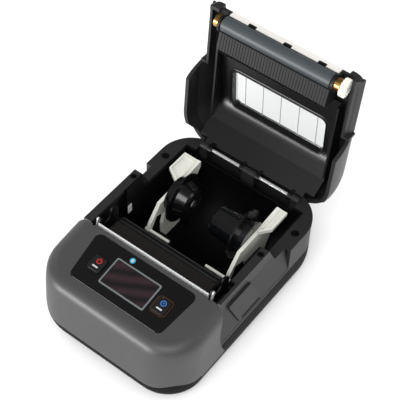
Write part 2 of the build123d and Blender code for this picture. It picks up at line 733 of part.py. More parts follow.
# Roll holders: a cranked arm with a tray at its back, a foot through the bay floor and a rack under it
for side, holder_name in ((-1, "roll_holder_left"), (1, "roll_holder_right")):
    foot_y0 = foot_front if side < 0 else foot_front_right
    foot_y1 = foot_back_left if side < 0 else foot_back
    tray_width = 11.0 if side < 0 else 5.6
    plug_length = plug_length_left if side < 0 else plug_length_right
    face_x = arm_x if side > 0 else -arm_x - arm_thick
    with BuildPart() as roll_holder:
        with BuildSketch(Plane.YZ.offset(face_x)) as arm_face:
            with BuildLine():
                Polyline((62, 45.5), (62, 40.5), (54, 30), (foot_y1, 16), (foot_y1, rack_z), (foot_y0, rack_z),
                         (foot_y0, 20), (24, 30), (14.5, 33.5), (9.2, 24.8), (5.8, 26.2), (8.8, 31.5),
                         (18.5, 43.0), (38, 43.6), close=True)
            make_face()
        extrude(amount=arm_thick)
        tray_in = side * (arm_x + arm_thick)
        tray_out = side * (arm_x + arm_thick + tray_width)
        with BuildSketch(Plane.XY.offset(42.4)) as tray:
            with BuildLine():
                Polyline((tray_in - side * 0.4, 62), (tray_out, 62), (tray_out, 45), (tray_in - side * 0.4, 37.5),
                         close=True)
            make_face()
        extrude(amount=2.9)
        with BuildSketch(Plane.XY.offset(43.5)) as tray_hollow:
            with BuildLine():
                Polyline((tray_in + side * 0.3, 60.6), (tray_out - side * 1.2, 60.6), (tray_out - side * 1.2, 45.7),
                         (tray_in + side * 0.3, 40.4), close=True)
            make_face()
        extrude(amount=2.5, mode=Mode.SUBTRACT)
        add(block(min(side * (arm_x - 16), side * (arm_x + 3.6)), max(side * (arm_x - 16), side * (arm_x + 3.6)),
                  6.2, 8.0, 25.6, 27.0))
        with BuildSketch(Plane.YZ.offset(side * (arm_x + 0.5))) as spindle:
            with Locations((bay_y, bay_z)):
                Circle(spindle_radius)
        extrude(amount=-side * (arm_x + 0.5 - disc_x + hub_disc_thick + plug_length - 1.6))
        rack_y0 = bay_y + side * (rack_pitch + 1.8)
        rack_y1 = rack_y0 + side * rack_back
        add(block(min(side * -6.0, side * (arm_x + arm_thick)), max(side * -6.0, side * (arm_x + arm_thick)),
                  min(rack_y0, rack_y1), max(rack_y0, rack_y1), rack_z, rack_z + rack_height))
        with BuildSketch(Plane.XY.offset(rack_z)) as rack_row:
            for k in range(-1, 4):
                tooth_x = side * (k + 0.5) * math.pi * rack_module
                with BuildLine():
                    Polyline((tooth_x - 1.5, rack_y0), (tooth_x - 0.45, rack_y0 - side * 3.1),
                             (tooth_x + 0.45, rack_y0 - side * 3.1), (tooth_x + 1.5, rack_y0), close=True)
                make_face()
        extrude(amount=rack_height)
    save(roll_holder.part, holder_name)

for side, hub_name, plug_length in ((-1, "hub_left", plug_length_left), (1, "hub_right", plug_length_right)):
    with BuildPart() as hub:
        with BuildSketch(Plane.XY) as hub_side:
            with BuildLine():
                Polyline(
                    (arm_x - face_gap, spindle_radius + run_fit),
                    (arm_x - face_gap, hub_neck_radius),
                    (disc_x + 0.01, hub_neck_radius),
                    (disc_x + 0.01, hub_disc_radius),
                    (disc_x - hub_disc_thick, hub_disc_radius),
                    (disc_x - hub_disc_thick, plug_radius),
                    (disc_x - hub_disc_thick - plug_length + 1.2, plug_tip_radius),
                    (disc_x - hub_disc_thick - plug_length, plug_tip_radius - 1.2),
                    (disc_x - hub_disc_thick - plug_length, spindle_radius + run_fit),
                    close=True,
                )
            make_face()
        revolve(axis=Axis.X)
    hub_part = hub.part if side > 0 else hub.part.mirror(Plane.YZ)
    save(Pos(0, bay_y, bay_z) * hub_part, hub_name)

with BuildPart() as holder_pinion:
    with BuildSketch(Plane.XY.offset(rack_z)) as pinion_face:
        with Locations((0, bay_y)):
            Circle(rack_pitch - 1.9)
            with PolarLocations(rack_pitch - 2.2, rack_teeth, start_angle=0):
                with BuildSketch(mode=Mode.PRIVATE) as pinion_tooth:
                    with BuildLine():
                        Polyline((0, -1.25), (3.5, -0.5), (3.5, 0.5), (0, 1.25), close=True)
                    make_face()
                add(pinion_tooth.sketch)
            Circle(2.0 + run_fit, mode=Mode.SUBTRACT)
    extrude(amount=rack_height)
save(holder_pinion.part, "holder_pinion")

# Hinge rod
with BuildPart() as hinge_rod:
    with BuildSketch(Plane.YZ.offset(-hinge_half)) as rod_face:
        with Locations((hinge_y, hinge_z)):
            Circle(hinge_rod_radius)
    extrude(amount=2 * hinge_half)
save(hinge_rod.part, "hinge_rod")

# Cover, drawn closed and swung open at the end
cover_outer = cover_form(0)
cover_inner = cover_form(cover_wall)
with BuildPart() as cover_shell:
    add(cover_outer)
    add(cover_inner, mode=Mode.SUBTRACT)
    with BuildSketch(Plane.YZ) as under_seam:
        with BuildLine():
            Polyline((-60, 20), (-60, rail_top + 0.5), (step_y + 0.6, rail_top + 0.5),
                     (step_y + step_lean + 0.6, rim_top + 0.5), (66, rim_top + 0.5), (72, cover_tail),
                     (cover_rear + 5, cover_tail), (cover_rear + 5, 20), close=True)
        make_face()
    extrude(amount=80, both=True, mode=Mode.SUBTRACT)
    add(block(-bay_half - 0.2, bay_half + 0.2, -60, platen_y - 2.4, 20, 100), mode=Mode.SUBTRACT)
    add(block(bay_half - 0.1, gear_x + gear_width + 0.5, platen_y - 7.5, platen_y, rail_top,
              platen_z + platen_pitch + 1.4), mode=Mode.SUBTRACT)
    for side in (-1, 1):
        with BuildSketch(Plane.XZ.offset(60)) as side_scoop:
            with BuildLine():
                Polyline((side * (rail_half - 0.4), rail_top), (side * (rail_half + 2.6), rail_top + 7.5),
                         (side * (half_w + 9), rail_top + 7.5), (side * (half_w + 9), rail_top), close=True)
            make_face()
        extrude(amount=-60 - step_y - 0.6, mode=Mode.SUBTRACT)
        with BuildSketch(Plane.XZ.offset(-cover_front - 2.5)) as side_lean:
            with BuildLine():
                Polyline((side * (rail_half - 0.4), rail_top + 0.5), (side * (rail_half + 2.6), rail_top + 7.9),
                         (side * (rail_half + 0.8), rail_top + 8.2), (side * (rail_half - 2.2), rail_top + 0.5),
                         close=True)
            make_face()
        extrude(amount=-step_y - 0.6 + cover_front + 2.5)
        with BuildSketch(Plane.XY.offset(rail_top + 0.5)) as step_wall:
            with BuildLine():
                Polyline((side * (rail_half - 2.2), step_y - 1.2), (side * (cover_half - 1.0), step_y - 1.2),
                         (side * (cover_half - 1.0), step_y + 0.6), (side * (rail_half - 2.2), step_y + 0.6), close=True)
            make_face()
        extrude(amount=7.4)
    with BuildSketch(Plane.XY.offset(60)) as window_hole:
        with Locations((0, (window_front + window_back) / 2)):
            RectangleRounded(2 * window_half, window_back - window_front, 4)
    extrude(amount=30, mode=Mode.SUBTRACT)
save(opened(cover_shell.part), "cover_shell")

with BuildPart() as window:
    add(cover_form(0.6))
    add(cover_form(0.6 + pane_thick), mode=Mode.SUBTRACT)
    with BuildSketch(Plane.XY.offset(60)) as pane_plan:
        with Locations((0, (window_front + window_back) / 2)):
            RectangleRounded(2 * (window_half - face_gap), window_back - window_front - 2 * face_gap, 3.8)
    extrude(amount=30, mode=Mode.INTERSECT)
save(opened(window.part), "window")

liner_points = [(hinge_y - 1.2, hinge_z + 3.3), (64.3, 61.7), (54.9, 72.2), (18.0, 67.6), (0.0, 65.9)]
with BuildPart() as cover_liner:
    with BuildSketch(Plane.YZ.offset(-bay_half)) as liner_side:
        with BuildLine() as liner_line:
            FilletPolyline(*liner_points, radius=12)
            offset(amount=1.4, side=Side.RIGHT)
        make_face()
    extrude(amount=2 * bay_half)
    with BuildSketch(Plane.YZ.offset(-window_half - 1.4)) as collar_side:
        with BuildLine():
            Polyline((window_front - 1.4, 68.1), (window_back - 2, 72.0), (window_back + 1.4, 71.2),
                     (window_back + 1.4, 90), (window_front - 1.4, 90), close=True)
        make_face()
    extrude(amount=2 * window_half + 2.8)
    add(cover_form(cover_wall + 0.05), mode=Mode.INTERSECT)
    with BuildSketch(Plane.XY.offset(60)) as sight_hole:
        with Locations((0, (window_front + window_back) / 2)):
            RectangleRounded(2 * window_half, window_back - window_front, 4)
    extrude(amount=30, mode=Mode.SUBTRACT)
    for cheek_x in (-bay_half, bay_half - 1.4):
        with BuildSketch(Plane.YZ.offset(cheek_x)) as cheek:
            with BuildLine():
                Polyline((0, rail_top + 0.9), (62, rail_top + 0.9), (64.0, 62.2), (58.0, 68.9), (52, 72.0),
                         (18, 68.2), (0, 66.5), close=True)
            make_face()
        extrude(amount=1.4)
    for side in (-1, 1):
        add(block(min(side * (hinge_half - 0.4), side * 80), max(side * (hinge_half - 0.4), side * 80),
                  66, 90, 40, hinge_z + 6.4), mode=Mode.SUBTRACT)
    for knuckle_x, knuckle_w in ((-hinge_half + 6.1, 3.0), (-8.0, 2.6), (5.4, 2.6), (hinge_half - 9.1, 3.0)):
        with BuildSketch(Plane.YZ.offset(knuckle_x)) as knuckle:
            with BuildLine():
                Polyline((hinge_y - 2.2, hinge_z), (hinge_y - 2.2, hinge_z + 4.6), (hinge_y + 1.2, hinge_z + 5.2),
                         (hinge_y + 2.2, hinge_z), close=True)
            make_face()
            with Locations((hinge_y, hinge_z)):
                Circle(barrel_radius)
                Circle(hinge_rod_radius + run_fit, mode=Mode.SUBTRACT)
        extrude(amount=knuckle_w)
save(opened(cover_liner.part), "cover_liner")

with BuildPart() as platen_holder:
    with BuildSketch(Plane.YZ.offset(-head_half - 0.2)) as holder_side:
        with BuildLine():
            Polyline((platen_y + 3.6, 54.0), (-4.8, 51.9), (-3.2, 53.2), (-3.2, 68.0), (platen_y - 2.3, 65.5),
                     (platen_y - 2.3, 60), close=True)
        make_face()
        with Locations((platen_y, platen_z)):
            Circle(platen_radius + 0.6, mode=Mode.SUBTRACT)
    extrude(amount=2 * head_half + 0.4)
    for clip_x in (-head_half - 2.0, head_half + 0.4):
        with BuildSketch(Plane.YZ.offset(clip_x)) as clip:
            with BuildLine():
                Polyline((platen_y - 3.6, platen_z), (platen_y + 8, platen_z), (platen_y + 10, 66.6),
                         (platen_y - 2.3, 65.5), close=True)
            make_face()
            with Locations((platen_y, platen_z)):
                Circle(bushing_radius + 1.5)
                Circle(bushing_radius + 0.02, mode=Mode.SUBTRACT)
        extrude(amount=1.6)
    for web_x in (-head_half - 0.4, head_half + 0.2):
        add(block(web_x, web_x + 0.2, platen_y + 6, platen_y + 8, 60, 65))
save(opened(platen_holder.part), "platen_holder")

with BuildPart() as cover_edge:
    with BuildSketch(Plane.YZ.offset(0.2 - head_half)) as edge_side:
        with BuildLine():
            Polyline((platen_y - 2.4, 63.3), (platen_y - 2.4, 67.6), (platen_y - 3.4, 67.4),
                     (platen_y - 3.4, 63.0), (platen_y - 2.9, 62.8), close=True)
        make_face()
    extrude(amount=2 * head_half - 0.4)
save(opened(cover_edge.part), "cover_edge")

with BuildPart() as platen_roller:
    with BuildSketch(Plane.YZ.offset(-platen_half)) as roller_face:
        with Locations((platen_y, platen_z)):
            Circle(platen_radius)
            Circle(shaft_radius + 0.01, mode=Mode.SUBTRACT)
    extrude(amount=2 * platen_half)
save(opened(platen_roller.part), "platen_roller")

with BuildPart() as platen_shaft:
    with BuildSketch(Plane.YZ.offset(-tear_half - 3.2)) as shaft_face:
        with Locations((platen_y, platen_z)):
            Circle(shaft_radius)
    extrude(amount=tear_half + 3.2 + gear_x + gear_width + 0.4)
    chamfer(platen_shaft.edges().filter_by(GeomType.CIRCLE), length=0.4)
save(opened(platen_shaft.part), "platen_shaft")

platen_gear = gear_blank(gear_module, platen_teeth, gear_width, shaft_radius + 0.01, gear_x, platen_y, platen_z, 10)
save(opened(platen_gear), "platen_gear")

for bushing_name, bushing_x in (("bushing_left", -tear_half - 2.6), ("bushing_right", tear_half - 2.6)):
    with BuildPart() as bushing:
        with BuildSketch(Plane.YZ.offset(bushing_x)) as bushing_face:
            with Locations((platen_y, platen_z)):
                Circle(bushing_radius)
                Circle(shaft_radius + run_fit, mode=Mode.SUBTRACT)
        extrude(amount=5.2)
    save(opened(bushing.part), bushing_name)
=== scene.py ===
import bmesh
import bpy
import math
import numpy as np
from mathutils import Matrix, Vector


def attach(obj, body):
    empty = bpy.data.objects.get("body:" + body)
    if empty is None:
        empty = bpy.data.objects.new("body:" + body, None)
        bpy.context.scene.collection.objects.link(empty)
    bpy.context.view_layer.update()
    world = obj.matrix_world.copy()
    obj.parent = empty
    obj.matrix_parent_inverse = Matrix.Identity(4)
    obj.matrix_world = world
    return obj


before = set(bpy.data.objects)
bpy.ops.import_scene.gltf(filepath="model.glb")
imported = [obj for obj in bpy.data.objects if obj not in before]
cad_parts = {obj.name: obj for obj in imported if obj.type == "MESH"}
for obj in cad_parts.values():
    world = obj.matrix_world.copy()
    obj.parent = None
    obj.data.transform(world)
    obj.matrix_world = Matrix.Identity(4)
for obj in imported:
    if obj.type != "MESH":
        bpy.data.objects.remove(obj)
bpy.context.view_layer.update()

# Pieces are drawn in millimetres and become metres where their mesh is made. Lights and camera are in metres.
MM = 0.001

# Places shared with the solids
HINGE_Y, HINGE_Z = 60.7, 45.0
OPEN_ANGLE = math.radians(93.0)
RAIL_TOP = 60.0
TEAR_Y = -42.3
NOSE_SLOPE = 5.6 / 36.0
PANEL_AHEAD = 22.0
PANEL_TILT = math.atan(NOSE_SLOPE)
PANEL_Y, PANEL_Z = TEAR_Y - PANEL_AHEAD, RAIL_TOP - PANEL_AHEAD * NOSE_SLOPE
BAY_Y, BAY_Z = 19.7, 39.5

# How every material varies: broad clouds of tone, and the softness of a clear coat
CLOUD_MM = 35.0
COAT_ROUGHNESS = 0.12
# Faces that meet at more than this stay a crisp edge
CRISP_ANGLE = math.radians(32.0)


# Materials
def linear(hex_colour):
    """An sRGB hex colour as linear red, green, blue and a full alpha."""
    parts = [int(hex_colour[i:i + 2], 16) / 255 for i in (1, 3, 5)]
    return [p / 12.92 if p <= 0.04045 else ((p + 0.055) / 1.055) ** 2.4 for p in parts] + [1.0]


def node(tree, kind, links=None, **settings):
    """Add one shader node, give it its settings by socket or property name, and link its inputs."""
    made = tree.nodes.new(kind)
    for name, value in settings.items():
        socket = made.inputs.get(name.replace("_", " "))
        if socket is not None and not hasattr(made, name):
            socket.default_value = value
        else:
            setattr(made, name, value)
    for name, source in (links or {}).items():
        tree.links.new(source, made.inputs[name])
    return made


def surface(name, colour, roughness, metallic=0.0, grain_mm=0.5, bump=0.1, colour_vary=0.08,
            rough_vary=0.08, coat=0.0, specular=0.5, ior=1.5):
    """A material with a fine grain. Broad noise moves the colour by its share either way. Noise as wide as the
    grain moves the roughness and bends the light like a relief, a fifth of the grain high, at the strength
    that the bump gives."""
    material = bpy.data.materials.new(name)
    material.use_nodes = True
    tree = material.node_tree
    shader = tree.nodes["Principled BSDF"]
    shader.inputs["Metallic"].default_value = metallic
    shader.inputs["IOR"].default_value = ior
    shader.inputs["Coat Weight"].default_value = coat
    shader.inputs["Coat Roughness"].default_value = COAT_ROUGHNESS
    shader.inputs["Specular IOR Level"].default_value = specular
    place = node(tree, "ShaderNodeTexCoord").outputs["Object"]
    fine = node(tree, "ShaderNodeTexNoise", {"Vector": place},
                Scale=1.0 / (grain_mm * MM), Detail=3.0, Roughness=0.6)
    broad = node(tree, "ShaderNodeTexNoise", {"Vector": place},
                 Scale=1.0 / (CLOUD_MM * MM), Detail=4.0, Roughness=0.55)
    base = linear(colour)
    tone = node(tree, "ShaderNodeMix", {"Factor": broad.outputs["Fac"]}, data_type="RGBA")
    tone.inputs["A"].default_value = [c * (1 - colour_vary) for c in base[:3]] + [1.0]
    tone.inputs["B"].default_value = [min(1.0, c * (1 + colour_vary)) for c in base[:3]] + [1.0]
    tree.links.new(tone.outputs["Result"], shader.inputs["Base Color"])
    rough = node(tree, "ShaderNodeMapRange", {"Value": fine.outputs["Fac"]})
    rough.inputs["To Min"].default_value = max(0.02, roughness - rough_vary)
    rough.inputs["To Max"].default_value = min(1.0, roughness + rough_vary)
    tree.links.new(rough.outputs["Result"], shader.inputs["Roughness"])
    if bump > 0:
        lift = node(tree, "ShaderNodeBump", {"Height": fine.outputs["Fac"]},
                    Strength=bump, Distance=grain_mm * MM / 5)
        tree.links.new(lift.outputs["Normal"], shader.inputs["Normal"])
    return material


def screen_bands(material, dark, pale, turn, bands_per_metre):
    """Slanted bands over a screen: a sine wave along its turned X, bent a little by noise, mixes two tones."""
    tree = material.node_tree
    place = node(tree, "ShaderNodeTexCoord").outputs["Object"]
    turned = node(tree, "ShaderNodeMapping", {"Vector": place}, Rotation=(0.0, 0.0, turn))
    wave = node(tree, "ShaderNodeTexWave", {"Vector": turned.outputs["Vector"]},
                Scale=bands_per_metre, Distortion=1.6, Detail=2.0)
    mix = node(tree, "ShaderNodeMix", {"Factor": wave.outputs["Fac"]}, data_type="RGBA")
    mix.inputs["A"].default_value = linear(dark)
    mix.inputs["B"].default_value = linear(pale)
    tree.links.new(mix.outputs["Result"], tree.nodes["Principled BSDF"].inputs["Base Color"])


def dress(material, *names):
    """Give CAD nodes their material."""
    for name in names:
        thing = bpy.data.objects[name]
        if not thing.data.materials:
            thing.data.materials.append(material)
        for slot in thing.material_slots:
            slot.material = material


# ABS, moulded with a fine spark texture: graphite front shell, matt with a soft highlight along its nose
shell_abs = surface("abs_graphite_shell", "#3A3A3B", 0.46, grain_mm=0.45, bump=0.16)
# ABS, moulded black with the same texture: the side frame and its release button, a shade darker
frame_abs = surface("abs_black_frame", "#212122", 0.5, grain_mm=0.45, bump=0.15, specular=0.4)
# ABS, moulded dead black: the tray, which shows as a dark line under the shell; the line there is part tray and
# part painted shadow of the gap, and the strip under the release button is painted shade
black_base_and_gap_shade = surface("abs_black_base_and_gap_shade", "#060607", 0.6, grain_mm=0.45, bump=0.15, specular=0.08)
# ABS, moulded with a fine spark texture: the cover's outer skin, nearly black and a little smoother
cover_abs = surface("abs_graphite_cover", "#222223", 0.42, grain_mm=0.45, bump=0.14, specular=0.4)
# ABS, moulded in a polished tool: the cover's inside shines softly, so its bend catches a band of light
inner_abs = surface("abs_black_inner", "#0A0A0B", 0.38, grain_mm=0.9, bump=0.05)
# ABS, moulded: the roll bay, nearly black with a faint sheen
bay_abs = surface("abs_black_bay", "#060607", 0.42, grain_mm=1.2, bump=0.04, specular=0.2)
# ABS, moulded and dull: the ribbed carrier around the platen
carrier_abs = surface("abs_black_carrier", "#121213", 0.5, grain_mm=0.6, bump=0.12, specular=0.3)
# Polycarbonate foil, screen printed on its back: the control panel, an even black
panel_foil = surface("polycarbonate_black_panel", "#070708", 0.42, grain_mm=0.25, bump=0.06, specular=0.3)
# ABS, moulded off-white: the roll arms, a little warm and smooth
arm_abs = surface("abs_white_arm", "#D8D8D0", 0.42, grain_mm=0.6, bump=0.06)
# Acetal, turned smooth: the roll hubs shine in small sharp highlights
hub_acetal = surface("acetal_black_hub", "#0A0B0D", 0.26, grain_mm=1.0, bump=0.03, coat=0.3)
# Silicone rubber, moulded satin: the two keys, soft and dark against the panel
key_rubber = surface("silicone_key", "#101011", 0.5, grain_mm=0.3, specular=0.35)
# Silicone rubber, ground: the platen, a bluish grey with one wide soft highlight
roller_rubber = surface("rubber_ground_roller", "#3C4246", 0.48, grain_mm=0.3)
# Rubber, moulded: the feet and the keypad mat, without any shine
foot_rubber = surface("rubber_foot", "#161616", 0.8, bump=0.2)
# Steel, stamped bright: the tear bar reads as one pale line, and the motor's can matches it
bright_steel = surface("steel_stamped_bright", "#E4E5E6", 0.36, metallic=0.35, grain_mm=0.2, bump=0.04)
# Steel, rolled satin: the strip over the platen, nearly as pale as paper
satin_steel = surface("steel_rolled_satin", "#EDEAE5", 0.4, metallic=0.25, grain_mm=0.3, bump=0.03)
# Steel, blackened: the print head's bracket, dark with a dull shine
black_steel = surface("steel_blackened", "#101112", 0.42, metallic=0.3, grain_mm=0.3, bump=0.06)
# Steel, ground: rods and shafts, each with one clear highlight
rod_steel = surface("steel_ground_rod", "#D6D7D8", 0.25, metallic=0.5, grain_mm=0.2, bump=0.03)
# Aluminium, black anodised: the head's cooling block, dull and slightly warm
head_metal = surface("aluminium_black_anodised", "#101012", 0.44, metallic=0.3, grain_mm=0.3,
                     bump=0.05, specular=0.3)
# Ceramic, glazed dark: the heater strip, the glossiest line on the head
ceramic = surface("ceramic_glazed", "#141210", 0.22, bump=0.02, coat=0.25, specular=0.4)
# Brass, turned: the platen's bushings, the one warm metal
brass = surface("brass_turned", "#C69A55", 0.3, metallic=1.0, grain_mm=0.2, bump=0.04)
# Acetal, moulded: the drive's gears, dark inside the housing and natural white on the platen
gear_black = surface("acetal_black_gear", "#151516", 0.4, bump=0.05)
gear_white = surface("acetal_natural_gear", "#E4E2DA", 0.38, bump=0.05)
# Fibreglass with green solder resist: the main board
board = surface("fibreglass_green_board", "#1D4A2C", 0.5)
# Polycarbonate, moulded grey satin: the frame around the screen, seen as a thin pale rim
bezel_grey = surface("polycarbonate_grey_bezel", "#62686A", 0.4, grain_mm=0.3, bump=0.05)
# Inks, screen printed: flat satin colour on the panel and the keys
red_ink = surface("ink_red", "#A81F1A", 0.45, grain_mm=0.3, bump=0.03)
blue_ink = surface("ink_blue", "#2A66A8", 0.45, grain_mm=0.3, bump=0.03)
cyan_ink = surface("ink_cyan", "#2391AE", 0.4, grain_mm=0.3, bump=0.03)
pale_ink = surface("ink_pale", "#B4B6B8", 0.45, grain_mm=0.3, bump=0.03)
amber_ink = surface("ink_amber", "#5C3016", 0.45, grain_mm=0.3, bump=0.03)
# Steel, blackened and pressed: the screws, dark with a small sharp glint
screw_steel = surface("steel_black_screw", "#1B1C1E", 0.34, metallic=0.8, grain_mm=0.2, bump=0.05)
# Glass over a passive display: dark and glossy, with broad slanted bands of reddish grey from the layers behind
screen_glass = surface("glass_display", "#2A2325", 0.14, grain_mm=1.0, bump=0.0, coat=0.4)
screen_bands(screen_glass, "#120E10", "#2A1D20", math.radians(62.0), 38.0)
# Polycarbonate, moulded clear: the window, so clear that only its ribs and edges show
pane = surface("polycarbonate_clear", "#F6F8F8", 0.05, grain_mm=2.0, bump=0.0, colour_vary=0.01,
               rough_vary=0.02, ior=1.2)
pane.node_tree.nodes["Principled BSDF"].inputs["Transmission Weight"].default_value = 1.0
# The same where it is ribbed: the ribs scatter the light and read as thin grey lines
pane_rib = surface("polycarbonate_ribs", "#B9BDBE", 0.3, grain_mm=1.0, bump=0.02)

dress(shell_abs, "front_shell")
dress(frame_abs, "mid_frame", "release_button")
dress(black_base_and_gap_shade, "base_tray", "battery_door", "battery_pack")
dress(cover_abs, "cover_shell")
dress(inner_abs, "cover_liner")
dress(carrier_abs, "platen_holder")
dress(bay_abs, "label_bay")
dress(panel_foil, "control_panel")
dress(arm_abs, "roll_holder_left", "roll_holder_right", "holder_pinion")
dress(hub_acetal, "hub_left", "hub_right")
dress(key_rubber, "power_button", "feed_button")
dress(roller_rubber, "platen_roller")
dress(foot_rubber, "foot_front_left", "foot_front_right", "foot_rear_left", "foot_rear_right", "keypad")
dress(bright_steel, "tear_bar", "motor")
dress(satin_steel, "cover_edge")
dress(black_steel, "head_bracket")
dress(rod_steel, "latch_bar", "idler_axle", "hinge_rod", "platen_shaft")
dress(head_metal, "head_block", "head_cover")
dress(ceramic, "head_ceramic")
dress(brass, "bushing_left", "bushing_right")
dress(gear_black, "motor_pinion", "idler_gear")
dress(gear_white, "platen_gear")
dress(board, "main_board")
dress(bezel_grey, "display_bezel")
dress(screen_glass, "display_glass")
dress(pane, "window")


# Places on the cover and on the panel
def swing(points):
    """Points drawn with the cover closed, turned back about the hinge line by the open angle."""
    c, s = math.cos(OPEN_ANGLE), math.sin(OPEN_ANGLE)
    dy, dz = points[..., 1] - HINGE_Y, points[..., 2] - HINGE_Z
    return np.stack([points[..., 0], HINGE_Y + c * dy + s * dz, HINGE_Z - s * dy + c * dz], axis=-1)


def panel(points):
    """Places u across, v up the slope and w off the panel's face: its middle + u X + v up + w out."""
    c, s = math.cos(PANEL_TILT), math.sin(PANEL_TILT)
    u, v, w = points[..., 0], points[..., 1], points[..., 2]
    return np.stack([u, PANEL_Y + c * v - s * w, PANEL_Z + s * v + c * w], axis=-1)


# Mesh tools
def skin(name, shells, material, body):
    """One piece from closed shells. Each shell is rings of points: neighbouring rings are joined by four-sided
    faces, the first and last ring are capped, and faces then point outwards."""
    points, faces, first = [], [], 0
    for rings in shells:
        rows, count, _ = rings.shape
        grid = first + np.arange(rows * count).reshape(rows, count)
        after = np.roll(grid, -1, axis=1)
        quads = np.stack([grid[:-1], after[:-1], after[1:], grid[1:]], axis=-1).reshape(-1, 4)
        faces += quads.tolist() + [grid[0, ::-1].tolist(), grid[-1].tolist()]
        points.append(rings.reshape(-1, 3) * MM)
        first += rows * count
    mesh = bpy.data.meshes.new(name)
    mesh.from_pydata(np.concatenate(points).tolist(), [], faces)
    work = bmesh.new()
    work.from_mesh(mesh)
    bmesh.ops.recalc_face_normals(work, faces=work.faces)
    work.to_mesh(mesh)
    work.free()
    mesh.shade_smooth()
    mesh.set_sharp_from_angle(angle=CRISP_ANGLE)
    mesh.materials.append(material)
    made = bpy.data.objects.new(name, mesh)
    bpy.context.scene.collection.objects.link(made)
    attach(made, body)
    return made


def rounded(width, depth, radius, steps=5):
    """A rectangle with round corners: corner middle + radius (cos t, sin t), t a quarter turn at each."""
    t = np.linspace(0.0, math.pi / 2, steps)
    turns = (t[None, :] + np.arange(4)[:, None] * math.pi / 2).ravel()
    side_x = np.repeat([1, -1, -1, 1], steps) * (width / 2 - radius)
    side_y = np.repeat([1, 1, -1, -1], steps) * (depth / 2 - radius)
    return np.stack([side_x + radius * np.cos(turns), side_y + radius * np.sin(turns)], axis=-1)


def oval(half_width, half_depth, steps):
    """An oval: (half width cos t, half depth sin t), with t from 0 to just short of a full turn."""
    t = np.linspace(0, 6.2, steps)
    return np.column_stack([half_width * np.cos(t), half_depth * np.sin(t)])


def raised(outline, base, top, ease):
    """Rings of a raised pad: its outline at the base, then drawn in by the ease at the top."""
    middle = outline.mean(axis=0)
    reach = np.linalg.norm(outline - middle, axis=1, keepdims=True)
    levels = [(0.0, base), (0.0, top - ease), (ease, top)]
    return np.stack([np.column_stack([middle + (outline - middle) * (1 - inset / reach),
                                      np.full(len(outline), height)]) for inset, height in levels])


def band(inner, outer, base, top, middle, t0=0.0, t1=2 * math.pi, steps=40):
    """A flat ring or part of one: the four corners of its cross-section carried round from angle t0 to t1."""
    t = np.linspace(t0, t1, steps)[:, None]
    r = np.array([inner, outer, outer, inner])[None, :]
    h = np.broadcast_to(np.array([base, base, top, top]), (steps, 4))
    return np.stack([middle[0] + r * np.cos(t), middle[1] + r * np.sin(t), h], axis=-1)


def frame_band(width, depth, radius, thick, base, top, middle, steps=6):
    """A thin frame: the corners of its cross-section carried round a rounded rectangle and its inner copy."""
    outer = rounded(width, depth, radius, steps) + middle
    inner = rounded(width - 2 * thick, depth - 2 * thick, radius - thick, steps) + middle
    sides = [(inner, base), (outer, base), (outer, top), (inner, top)]
    ring = np.stack([np.column_stack([side, np.full(len(side), height)]) for side, height in sides], axis=1)
    return np.concatenate([ring, ring[:1]])


def bar(profile, x0, x1, ease=0.3):
    """A bar along X: its side profile, drawn in towards its middle by the ease at each end."""
    profile = np.asarray(profile, float)
    middle = profile.mean(axis=0)
    reach = np.linalg.norm(profile - middle, axis=1, keepdims=True)
    small = middle + (profile - middle) * (1 - np.minimum(ease / reach, 0.9))
    rings = [(x0, small), (x0 + ease, profile), (x1 - ease, profile), (x1, small)]
    return np.stack([np.column_stack([np.full(len(profile), x), side]) for x, side in rings])


def round_profile(y, z, radius, steps=12):
    """A circle in the side view: its middle + radius (cos t, sin t)."""
    t = np.linspace(0, 2 * math.pi, steps, endpoint=False)
    return np.column_stack([y + radius * np.cos(t), z + radius * np.sin(t)])


# Screws in the frame's screw holes, one pair in the rails and one in the lower rim behind them, their heads
# just under its top: x, y, z of the foot, radius and rise of each pair
SCREW_PAIRS = ((50.2, 0.7, 58.4, 2.05, 1.1), (52.5, 36.7, 44.4, 2.6, 1.2))


def screw_head(x, y, z, radius, rise):
    """A domed head with a cross sunk into it. Over (r, t) its height is rise (1 - 0.45 r^2), less 0.55 rise in
    the cross. An arm and its sloped wall reach 0.16 of the radius to either side and 0.72 out."""
    arm_half, arm_wall, arm_reach, arm_end = 0.16, 0.05, 0.72, 0.06
    r = np.linspace(1.0, 0.04, 22)[:, None]
    t = np.linspace(0, 2 * math.pi, 64, endpoint=False)[None, :]
    u, v = r * np.cos(t), r * np.sin(t)
    off_arm = np.minimum(np.abs(u), np.abs(v))
    cross = np.clip((arm_half - off_arm) / arm_wall, 0, 1) * np.clip((arm_reach - r) / arm_end, 0, 1)
    top = z + rise * (1 - 0.45 * r**2 - 0.55 * cross)
    foot = np.stack([x + radius * u[0], y + radius * v[0], np.full(t.size, z)], axis=-1)
    return np.concatenate([foot[None], np.stack([x + radius * u, y + radius * v, top], axis=-1)])


skin("rail_screws", [screw_head(side * x, y, z, radius, rise)
                     for x, y, z, radius, rise in SCREW_PAIRS for side in (-1, 1)],
     screw_steel, "base")

# Marks on the keys and the panel: pads of ink, rooted a tenth of a millimetre under the face that carries them
KEY_FACE, PANEL_FACE = 1.1, 0.22
INK_ROOT = 0.1
KEY_X = 25.0
POWER_MARK, FEED_MARK = (-24.8, 1.0), (25.2, 1.0)
KEY_BAR = rounded(4.2, 1.0, 0.3)
KEY_BAR_V = -3.2
DOT = (-8.6, 13.4)


def ink(outline, middle, face, rise, ease=0.05):
    """A pad of ink with an outline about a middle, from its root to its rise over the face."""
    return panel(raised(outline + middle, face - INK_ROOT, face + rise, ease))


def ink_ring(inner, outer, middle, t0=0.0, t1=2 * math.pi):
    """A ring of ink on a key, or part of one, 0.12 mm over its face."""
    return panel(band(inner, outer, KEY_FACE - INK_ROOT, KEY_FACE + 0.12, middle, t0, t1))


